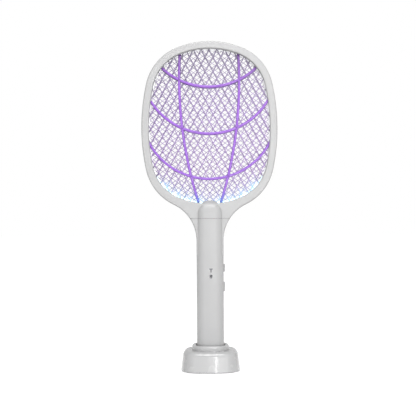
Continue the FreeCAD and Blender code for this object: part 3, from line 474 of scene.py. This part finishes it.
def add_glow(mesh, near, far, far_share):
    """Stores how much painted lamp glow each vertex gives off: a sharp patch by each lamp and a faint wide
    one.
    """
    glow = mesh.attributes.new("glow", "FLOAT", "POINT")
    for vertex, value in zip(mesh.vertices, glow.data):
        apart = min(math.hypot(vertex.co.x - x, vertex.co.z - z) for x, z in LAMP_POINTS)
        value.value = math.exp(-(apart / near) ** 2) + far_share * math.exp(-(apart / far) ** 2)


def cut_to_outline(bm, outset):
    """Cuts everything outside the opening grown by outset away."""
    loop = opening_loop(outset, CUT_STEP)
    for (x0, z0), (x1, z1) in zip(loop, loop[1:] + loop[:1]):
        outward = Vector((z1 - z0, 0, x0 - x1))
        geometry = bm.verts[:] + bm.edges[:] + bm.faces[:]
        bmesh.ops.bisect_plane(bm, geom=geometry, plane_co=(x0, 0, z0), plane_no=outward, clear_outer=True)


def lattice_piece(name, node, cell, strand, lift, segments):
    """An expanded-metal sheet: diamond holes with each strand twisted a little out of the sheet's plane."""
    half_x, half_z = cell
    low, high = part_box(node)
    middle = (low.y + high.y) / 2
    shrink = 1 - strand / 2 / (half_x * half_z / math.hypot(half_x, half_z))
    bm = bmesh.new()
    rows = math.ceil((OPEN_TOP - OPEN_BOTTOM) / half_z / 2) + 2
    columns = math.ceil(OPEN_HALF / half_x / 2) + 2
    corners = ((1, 0), (0, 1), (-1, 0), (0, -1))
    for row in range(-rows, rows + 1):
        for col in range(-columns, columns + 1):
            x = (2 * col + row % 2) * half_x
            z = WIDEST_Z + row * half_z
            knots = [bm.verts.new((x + u * half_x, middle, z + v * half_z)) for u, v in corners]
            hole = [bm.verts.new((x + u * half_x * shrink, middle + v * lift, z + v * half_z * shrink))
                    for u, v in corners]
            for i in range(4):
                j = (i + 1) % 4
                bm.faces.new((knots[i], hole[i], hole[j], knots[j]))
    bmesh.ops.remove_doubles(bm, verts=bm.verts, dist=half_z / 50)
    cut_to_outline(bm, STACK_OUTSET)
    add_border(bm, MESH_BORDER, middle)
    mesh = mesh_from(bm, name)
    obj = finish_piece(name, mesh, node, "mesh_metal")
    sheet = obj.modifiers.new("sheet", "SOLIDIFY")
    sheet.thickness = SHEET_THICKNESS
    sheet.offset = 0
    rounding = obj.modifiers.new("rounding", "BEVEL")
    rounding.width = SHEET_ROUND
    rounding.segments = segments
    rounding.limit_method = "ANGLE"
    rounding.angle_limit = math.radians(50)
    # Painted lamp light: the sheet glows near each lamp.
    add_glow(mesh, near=6.2 * MM, far=15 * MM, far_share=0.06)


def add_band(bm, first, second):
    """Quads between two closed rows of vertices of any lengths, matched by their share of the way round."""
    i = j = 0
    while i < len(first) or j < len(second):
        ahead_first = (i + 1) / len(first)
        ahead_second = (j + 1) / len(second)
        a, b = first[i % len(first)], second[j % len(second)]
        if ahead_first <= ahead_second:
            bm.faces.new((a, b, first[(i + 1) % len(first)]))
            i += 1
        else:
            bm.faces.new((a, b, second[(j + 1) % len(second)]))
            j += 1


def add_border(bm, start, y):
    """A flat band round the opening, at one depth, from its border's start to the pieces' outer edge."""
    rings = [[bm.verts.new((x, y, z)) for x, z in opening_loop(outset)] for outset in (start, STACK_OUTSET)]
    add_band(bm, *rings)


def sweep_oval(bm, points, half_wide, half_deep, middle):
    """A bar of crowned section along points of the sheet's plane."""
    sides = 12
    squareness = 0.7
    rings = []
    for k, point in enumerate(points):
        before = Vector(points[max(k - 1, 0)])
        after = Vector(points[min(k + 1, len(points) - 1)])
        along = (after - before).normalized()
        normal = Vector((-along.y, along.x))
        ring = []
        for i in range(sides):
            angle = 2 * math.pi * (i + 0.5) / sides
            across = half_wide * math.copysign(abs(math.cos(angle)) ** squareness, math.cos(angle))
            out = half_deep * math.copysign(abs(math.sin(angle)) ** squareness, math.sin(angle))
            place = Vector(point) + normal * across
            ring.append(bm.verts.new((place.x, middle + out, place.y)))
        rings.append(ring)
    join_rings(bm, rings)


def inside_opening(x, z, outset):
    """Whether a point lies inside the opening grown by outset."""
    loop = opening_loop(outset, CUT_STEP)
    return all((x1 - x0) * (z - z0) - (z1 - z0) * (x - x0) >= 0
               for (x0, z0), (x1, z1) in zip(loop, loop[1:] + loop[:1]))


def rib_paths():
    """The centre lines of the guard's ribs: two upright arcs and three hanging ones."""
    paths = []
    for s in (-1, 1):
        count = int(2 * UPRIGHT_HALF_ANGLE * UPRIGHT_R / RIB_STEP)
        path = []
        for i in range(count):
            angle = i * RIB_STEP / UPRIGHT_R - UPRIGHT_HALF_ANGLE
            x = UPRIGHT_X - UPRIGHT_R + UPRIGHT_R * math.cos(angle)
            path.append((s * x, UPRIGHT_Z + UPRIGHT_R * math.sin(angle)))
        paths.append(path)
    for depth in HANGING_DEPTHS:
        middle_z = OPEN_TOP - depth + HANGING_R
        angles = [math.pi + i * RIB_STEP / HANGING_R for i in range(int(math.pi * HANGING_R / RIB_STEP))]
        paths.append([(HANGING_R * math.cos(a), middle_z + HANGING_R * math.sin(a)) for a in angles])
    return [[p for p in path if inside_opening(*p, RIB_REACH)] for path in paths]


def guard_piece(name, node):
    """A violet guard: crowned ribs and the flat rim that the frame's lip covers."""
    low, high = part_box(node)
    middle = (low.y + high.y) / 2
    half_deep = (high.y - low.y) / 2
    bm = bmesh.new()
    for path in rib_paths():
        sweep_oval(bm, path, RIB_HALF_WIDTH, half_deep, middle)
    for y in (low.y, high.y):
        add_border(bm, GUARD_BORDER, y)
    bmesh.ops.recalc_face_normals(bm, faces=bm.faces)
    finish_piece(name, mesh_from(bm, name), node, "guard")


def window_piece():
    """The lamp's clear window: a strip round the lower edge with a rounded inner face."""
    bm = bmesh.new()
    stations = 140
    outline = [(-1.3, 0.25), (-1.3, 0.75), (-0.9, 1.0), (1.8, 1.0), (1.8, 0.0), (-0.9, 0.0)]
    loops = []
    for outset, share in outline:
        y = WINDOW_LOW.y + (WINDOW_HIGH.y - WINDOW_LOW.y) * share
        loop = opening_loop(outset * MM)
        start = loop.index(max(loop, key=lambda p: p[1]))
        loop = loop[start:] + loop[:start]
        loops.append([(x, y, z) for x, z in loop if z < WINDOW_HIGH.z])
    rows = []
    for loop in loops:
        row = []
        for k in range(stations + 1):
            place = k * (len(loop) - 1) / stations
            i = min(int(place), len(loop) - 2)
            row.append(bm.verts.new(Vector(loop[i]).lerp(Vector(loop[i + 1]), place - i)))
        rows.append(row)
    join_rings(bm, list(zip(*rows)))
    bmesh.ops.recalc_face_normals(bm, faces=bm.faces)
    mesh = mesh_from(bm, "lamp_window")
    finish_piece("lamp_window", mesh, "led_window", "clear_lens")
    # Painted lamp light: the window glows near each lamp.
    add_glow(mesh, near=5.5 * MM, far=14 * MM, far_share=0.3)


def spring_piece(side):
    """A contact spring's coil, built at one length; the real spring shortens as its contact pin goes down."""
    node = side + "_contact_spring"
    low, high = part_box(node)
    middle = (low + high) / 2
    reach = (high.x - low.x) / 2 - SPRING_WIRE
    rise = high.z - low.z - 2 * SPRING_WIRE
    turns, around, sides = 3, 24, 8
    bm = bmesh.new()
    rings = []
    for k in range(turns * around + 1):
        angle = 2 * math.pi * k / around
        height = low.z + SPRING_WIRE + rise * k / (turns * around)
        ring = []
        for i in range(sides):
            turn = 2 * math.pi * i / sides
            far = reach + SPRING_WIRE * math.cos(turn)
            ring.append(bm.verts.new((middle.x + far * math.cos(angle), middle.y + far * math.sin(angle),
                                      height + SPRING_WIRE * math.sin(turn))))
        rings.append(ring)
    join_rings(bm, rings)
    bmesh.ops.recalc_face_normals(bm, faces=bm.faces)
    mesh = mesh_from(bm, side + "_coil")
    obj = finish_piece(side + "_coil", mesh, node, "spring_steel", "dock")
    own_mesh(obj)


def symbol_piece(name, node, outline, hole=()):
    """A smoked symbol set in the handle's front: an outline with a round edge and, if given, an opening."""
    low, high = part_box(node)
    middle = (low + high) / 2
    shape = bpy.data.curves.new(name, "CURVE")
    shape.dimensions = "2D"
    shape.fill_mode = "BOTH"
    for points in (outline, hole):
        if points:
            spline = shape.splines.new("POLY")
            spline.points.add(len(points) - 1)
            spline.use_cyclic_u = True
            for point, (u, v) in zip(spline.points, points):
                point.co = (u * MM, v * MM, 0, 1)
    shape.extrude = (high.y - low.y) / 2 - SYMBOL_ROUND
    shape.bevel_depth = SYMBOL_ROUND
    shape.bevel_resolution = 2
    draft = bpy.data.objects.new(name, shape)
    bpy.context.scene.collection.objects.link(draft)
    bpy.context.view_layer.update()
    mesh = bpy.data.meshes.new_from_object(draft.evaluated_get(bpy.context.evaluated_depsgraph_get()))
    bpy.data.objects.remove(draft)
    stand = Matrix.Translation(middle) @ Matrix.Rotation(math.pi / 2, 4, "X")
    mesh.transform(stand)
    finish_piece(name, mesh, node, "symbol_lens")
    mesh.shade_flat()


def mirrored(right):
    """An outline from its right half, given from top to bottom; points on the middle line aren't doubled."""
    return right + [(-x, z) for x, z in reversed(right) if x]


def build_symbols():
    """The lamp-shade and drop symbols, whose points are in millimetres from their middles."""
    shade_outline = mirrored([(2.3, 2.7), (2.0, 1.5), (0.9, 0.4), (0.75, -2.7)])
    symbol_piece("shade_symbol", "lamp_symbol_lens", shade_outline)
    drop_outline = mirrored([(0, 3.1), (1.7, 2.3), (1.9, 0.6), (1.3, -1.2), (0, -3.1)])
    drop_hole = mirrored([(0, 2.3), (0.9, 1.8), (1.0, 0.7), (0, -0.9)])
    symbol_piece("drop_symbol", "zap_symbol_lens", drop_outline, drop_hole)


def build_pieces():
    """Every piece that stands for a CAD node."""
    build_symbols()
    for side in ("left", "right"):
        spring_piece(side)
    # Each lattice's half cell, strand width and strand twist are in millimetres.
    for name, node, cell, strand, lift, segments in (
        ("front_lattice", "front_mesh", (5.15, 9.5), 1.0, -0.15, 2),
        ("centre_lattice", "centre_mesh", (4.12, 3.1), 0.75, 0.12, 1),
        ("rear_lattice", "rear_mesh", (5.15, 9.5), 1.0, 0.15, 2),
    ):
        lattice_piece(name, node, [c * MM for c in cell], strand * MM, lift * MM, segments)
    guard_piece("front_web", "front_guard")
    guard_piece("rear_web", "rear_guard")
    window_piece()


# ---- stage, light and camera -----------------------------------------------------------------------

# What the camera takes in across the object's middle, where it stands, and its roll in degrees.
FRAME_WIDTH = 0.549
CAMERA_DISTANCE = 1.3
CAMERA_HEIGHT = 0.213
CAMERA_SIDE = -0.0024
CAMERA_ROLL = 0.32
SENSOR = 36.0
FLOOR_SIZE = 12.0


def add_floor():
    """A plain pale floor."""
    bpy.ops.mesh.primitive_plane_add(size=FLOOR_SIZE, location=(0, 0, 0))
    floor = bpy.context.object
    floor.name = "floor"
    material, _, shader = new_material("floor_white")
    shader.inputs["Base Color"].default_value = (0.7, 0.7, 0.7, 1)
    shader.inputs["Roughness"].default_value = 0.9
    shader.inputs["Specular IOR Level"].default_value = 0.1
    shader.inputs["Emission Color"].default_value = (1, 1, 1, 1)
    shader.inputs["Emission Strength"].default_value = 0.62
    paint(floor, material)


def add_world():
    """White surroundings, dimmer to both sides so that the round edges turn darker."""
    world = bpy.data.worlds.new("studio")
    bpy.context.scene.world = world
    world.use_nodes = True
    tree = world.node_tree
    tree.nodes.clear()
    out = tree.nodes.new("ShaderNodeOutputWorld")
    plain = tree.nodes.new("ShaderNodeBackground")
    plain.inputs["Color"].default_value = (1, 1, 1, 1)
    plain.inputs["Strength"].default_value = 1.0
    lit = tree.nodes.new("ShaderNodeBackground")
    lit.inputs["Strength"].default_value = 0.74
    sideways = part_of(tree, tree.nodes.new("ShaderNodeTexCoord").outputs["Generated"], "X")
    levels = [(0.0, 0.12), (0.05, 0.5), (0.25, 0.85), (0.5, 1.0), (0.8, 0.9), (1.0, 0.5)]
    stops = [(position, (level, level, level)) for position, level in levels]
    tree.links.new(ramp(tree, rescale(tree, sideways, -1.0, 1.0), stops), lit.inputs["Color"])
    path = tree.nodes.new("ShaderNodeLightPath")
    mix = tree.nodes.new("ShaderNodeMixShader")
    tree.links.new(path.outputs["Is Camera Ray"], mix.inputs["Fac"])
    tree.links.new(lit.outputs["Background"], mix.inputs[1])
    tree.links.new(plain.outputs["Background"], mix.inputs[2])
    tree.links.new(mix.outputs["Shader"], out.inputs["Surface"])


def add_softbox(name, place, target, size, power):
    """A rectangular area light aimed at a point."""
    light = bpy.data.lights.new(name, "AREA")
    light.shape = "RECTANGLE"
    light.size, light.size_y = size
    light.energy = power
    obj = bpy.data.objects.new(name, light)
    obj.location = place
    obj.rotation_euler = (Vector(target) - Vector(place)).to_track_quat("-Z", "Y").to_euler()
    obj.visible_camera = False
    bpy.context.scene.collection.objects.link(obj)


def add_camera():
    """The camera, level with the middle of the swatter."""
    camera = bpy.data.cameras.new("camera")
    camera.sensor_width = SENSOR
    camera.lens = SENSOR * CAMERA_DISTANCE / FRAME_WIDTH
    obj = bpy.data.objects.new("camera", camera)
    obj.location = (CAMERA_SIDE, -CAMERA_DISTANCE, CAMERA_HEIGHT)
    obj.rotation_euler = (math.pi / 2, math.radians(CAMERA_ROLL), 0)
    bpy.context.scene.collection.objects.link(obj)
    bpy.context.scene.camera = obj
    bpy.context.scene.view_settings.view_transform = "Standard"


paint_nodes()
build_pieces()
add_floor()
add_world()
add_softbox("strip_right", (0.15, -1.4, 0.25), (0, 0, 0.2), (0.05, 1.2), 5.5)
add_softbox("strip_dock", (0.47, -1.3, 0.1), (0, 0, 0.05), (0.06, 0.8), 2.4)
add_softbox("front_fill", (-0.2, -1.9, 0.3), (0, 0, 0.2), (1.4, 1.2), 5.0)
add_softbox("top", (0.0, -0.55, 1.2), (0, 0, 0.2), (0.5, 0.45), 8.5)
add_softbox("key", (0.5, -0.8, 1.0), (0, 0, 0.22), (0.25, 0.25), 1.2)
add_camera()
